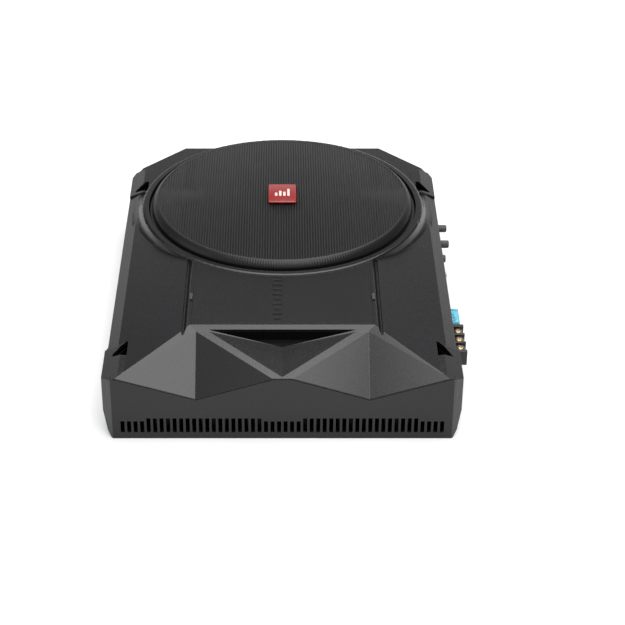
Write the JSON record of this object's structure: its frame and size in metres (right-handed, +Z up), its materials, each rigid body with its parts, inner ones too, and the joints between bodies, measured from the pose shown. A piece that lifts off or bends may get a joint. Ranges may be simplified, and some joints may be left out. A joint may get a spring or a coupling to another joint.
{
  "type": "powered car subwoofer",
  "caption": "Flat powered car subwoofer: vented case with a faceted front, a round ribbed grille over a shallow driver, and wiring terminals, fuse and level controls on one side.",
  "frame": {"origin": "on the bottom face, under the middle of the case's footprint without its connectors", "axes": "+Z up out of the grille, -Y the vented faceted front, +X the side with the controls"},
  "size_m": [0.2576, 0.345, 0.0725],
  "materials": {
    "case_plastic": "fine matt moulding",
    "panel_plastic": "fine matt moulding",
    "vent_plastic": "matt",
    "gasket_foam": "closed-cell foam",
    "grille_steel": "black powder coat",
    "grille_plastic": "matt",
    "badge_red": "gloss",
    "badge_white": "gloss",
    "basket_steel": "black paint",
    "ferrite": "sintered",
    "zinc_steel": "zinc plated",
    "screw_steel": "black zinc",
    "former_foil": "satin",
    "copper_coil": "enamelled wire",
    "cone_paper": "pressed pulp",
    "surround_rubber": "moulded",
    "spider_cloth": "treated cloth",
    "lead_braid": "braided",
    "wire_red": "insulated",
    "board_green": "solder mask",
    "sink_aluminium": "extruded",
    "component_black": "moulded",
    "capacitor_sleeve": "shrink sleeve",
    "ferrite_green": "coated",
    "socket_black": "moulded",
    "knob_grey": "fine matt",
    "slider_white": "moulded",
    "light_lens": "clear tinted",
    "tin_plate": "tinned",
    "jack_nickel": "nickel",
    "fuse_blue": "tinted clear",
    "terminal_brass": "plated"
  },
  "bodies": {
    "case": {"base_tray": "case_plastic", "top_cover": "case_plastic", "case_gasket": "gasket_foam", "centre_panel": "panel_plastic", "panel_clips": "knob_grey", "vent_liner": "vent_plastic", "mounting_sleeves": "vent_plastic", "cover_screws": "screw_steel", "grille": "grille_steel", "grille_ring": "grille_plastic", "badge_plate": "badge_red", "badge_mark": "badge_white", "driver_basket": "basket_steel", "driver_gasket": "gasket_foam", "driver_screws": "screw_steel", "pole_piece": "zinc_steel", "magnet": "ferrite", "top_plate": "zinc_steel", "surround": "surround_rubber", "spider": "spider_cloth", "driver_terminals": "component_black", "lead_wires": "lead_braid", "speaker_wires": "wire_red", "heat_sink": "sink_aluminium", "circuit_board": "board_green", "board_screws": "zinc_steel", "power_transistors": "component_black", "capacitors": "capacitor_sleeve", "transformer": "ferrite_green", "control_chips": "component_black", "control_panel": "socket_black", "potentiometers": "zinc_steel", "phase_switch": "component_black", "status_light": "light_lens", "input_socket": "slider_white", "input_pins": "tin_plate", "jack_shells": "jack_nickel", "jack_inserts": "slider_white", "fuse_holder": "socket_black", "terminal_block": "socket_black", "terminal_clamps": "terminal_brass"},
    "cone_unit": {"cone": "cone_paper", "dust_cap": "cone_paper", "voice_coil_former": "former_foil", "voice_coil": "copper_coil"},
    "level_knob": {"level_knob": "knob_grey"},
    "crossover_knob": {"crossover_knob": "knob_grey"},
    "bass_knob": {"bass_knob": "knob_grey"},
    "phase_slider": {"phase_slider": "slider_white"},
    "fuse": {"fuse_body": "fuse_blue", "fuse_blades": "tin_plate"},
    "pressure_plate_1": {"pressure_plate_1": "terminal_brass"},
    "terminal_screw_1": {"terminal_screw_1": "terminal_brass"},
    "pressure_plate_2": {"pressure_plate_2": "terminal_brass"},
    "terminal_screw_2": {"terminal_screw_2": "terminal_brass"},
    "pressure_plate_3": {"pressure_plate_3": "terminal_brass"},
    "terminal_screw_3": {"terminal_screw_3": "terminal_brass"}
  },
  "joints": [
    {"name": "cone_stroke", "type": "slide", "parent": "case", "child": "cone_unit", "axis": [0, 0, 1], "range_m": [-0.006, 0.006], "stiffness_N_per_m": 3000, "deforming": ["surround", "spider", "lead_wires"]},
    {"name": "level_turn", "type": "hinge", "parent": "case", "child": "level_knob", "pos_m": [0.124, 0.0765, 0.0266], "axis": [1, 0, 0], "range_deg": [-140, 140]},
    {"name": "crossover_turn", "type": "hinge", "parent": "case", "child": "crossover_knob", "pos_m": [0.124, 0.0515, 0.0266], "axis": [1, 0, 0], "range_deg": [-140, 140]},
    {"name": "bass_turn", "type": "hinge", "parent": "case", "child": "bass_knob", "pos_m": [0.124, 0.0289, 0.0266], "axis": [1, 0, 0], "range_deg": [-140, 140]},
    {"name": "phase_slide", "type": "slide", "parent": "case", "child": "phase_slider", "axis": [0, 1, 0], "range_m": [0, 0.0033]},
    {"name": "fuse_pull", "type": "slide", "parent": "case", "child": "fuse", "axis": [1, 0, 0], "range_m": [0, 0.012]},
    {"name": "plate_press_1", "type": "slide", "parent": "case", "child": "pressure_plate_1", "axis": [0, 0, 1], "range_m": [-0.0018, 0]},
    {"name": "terminal_turn_1", "type": "hinge", "parent": "pressure_plate_1", "child": "terminal_screw_1", "pos_m": [0.1281, -0.1098, 0.033], "axis": [0, 0, 1], "range_deg": [-927, 0]},
    {"name": "plate_press_2", "type": "slide", "parent": "case", "child": "pressure_plate_2", "axis": [0, 0, 1], "range_m": [-0.0018, 0]},
    {"name": "terminal_turn_2", "type": "hinge", "parent": "pressure_plate_2", "child": "terminal_screw_2", "pos_m": [0.1281, -0.099, 0.033], "axis": [0, 0, 1], "range_deg": [-927, 0]},
    {"name": "plate_press_3", "type": "slide", "parent": "case", "child": "pressure_plate_3", "axis": [0, 0, 1], "range_m": [-0.0018, 0]},
    {"name": "terminal_turn_3", "type": "hinge", "parent": "pressure_plate_3", "child": "terminal_screw_3", "pos_m": [0.1281, -0.0882, 0.033], "axis": [0, 0, 1], "range_deg": [-927, 0]}
  ],
  "couplings": [
    {"joint": "terminal_turn_1", "follows": "plate_press_1", "rad_per_m": 8976},
    {"joint": "terminal_turn_2", "follows": "plate_press_2", "rad_per_m": 8976},
    {"joint": "terminal_turn_3", "follows": "plate_press_3", "rad_per_m": 8976}
  ]
}
